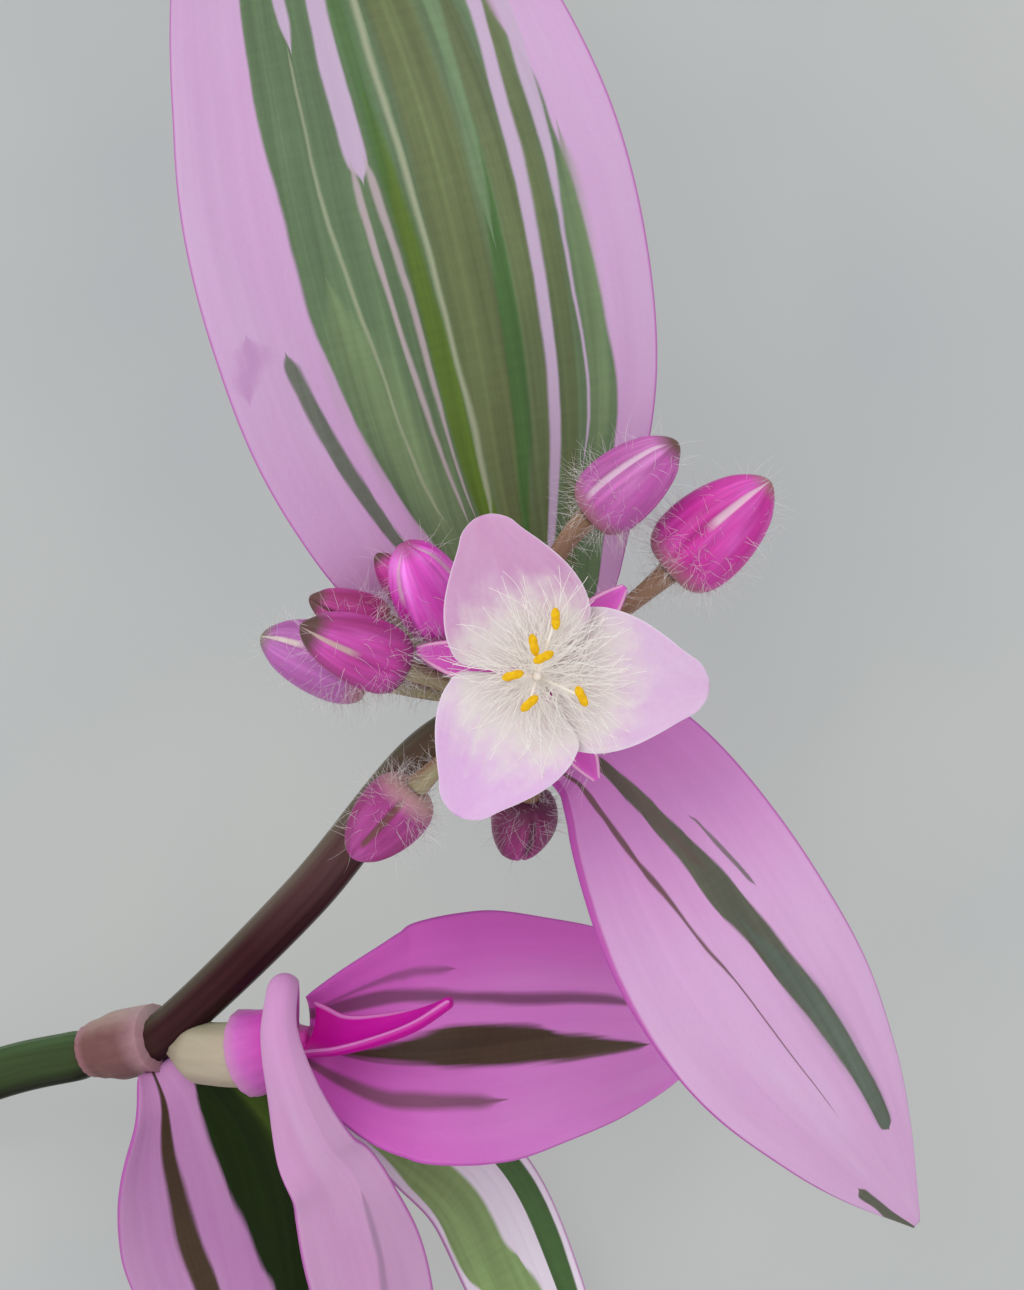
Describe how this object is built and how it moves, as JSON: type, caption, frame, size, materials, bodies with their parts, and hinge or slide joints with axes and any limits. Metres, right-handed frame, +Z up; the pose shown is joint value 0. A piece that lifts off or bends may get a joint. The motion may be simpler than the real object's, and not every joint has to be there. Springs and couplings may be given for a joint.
{
  "type": "flowering pink inch plant cutting",
  "caption": "Cut shoot of a pink, white and green striped trailing foliage plant, lying on a surface, with an open flower and hairy buds between two bract leaves.",
  "frame": {"origin": "middle of the cutting's own width and length, on the surface that it lies on", "axes": "+Z up from the surface, towards the open flower; +Y along the upper bract leaf, from the flower head towards that leaf's tip; +X towards the flower head from the cut end of the stem"},
  "size_m": [0.0872, 0.125, 0.0395],
  "materials": {
    "stem": "fleshy, satin, dark maroon to green, not woody",
    "stalk": "thin fleshy stalks, brown green, hairy",
    "leaf_green": "fleshy leaf, satin, green with pink and cream stripes",
    "leaf_pink": "fleshy leaf, satin, lilac pink with dark green stripes",
    "leaf_young": "young rolled leaf, satin, strong magenta",
    "calyx": "thin fleshy sepals, magenta, hairy",
    "petal": "thin soft petal, matte, pale lilac with a white middle",
    "flower_centre": "white ovary and filaments, matte",
    "anther": "yellow pollen, matte"
  },
  "bodies": {
    "root": {"stem": "stem", "leaf_bract_upper": "leaf_green", "leaf_bract_lower": "leaf_pink", "leaf_node": "leaf_pink", "leaf_shoot_right": "leaf_pink", "leaf_shoot_front": "leaf_pink", "leaf_shoot_young": "leaf_young", "leaf_shoot_back": "leaf_pink", "flower_stalks": "stalk", "bud_left_low": "calyx", "bud_left_mid": "calyx", "bud_left_high": "calyx", "bud_upper_near": "calyx", "bud_upper_far": "calyx", "bud_right_near": "calyx", "bud_right_far": "calyx", "bud_lower_left": "calyx", "bud_lower_back": "calyx", "petal_upper": "petal", "petal_right": "petal", "petal_lower": "petal", "sepal_right": "calyx", "sepal_lower": "calyx", "sepal_left": "calyx", "anther_1": "anther", "anther_2": "anther", "anther_3": "anther", "anther_4": "anther", "anther_5": "anther", "anther_6": "anther", "flower_centre": "flower_centre"}
  },
  "joints": []
}
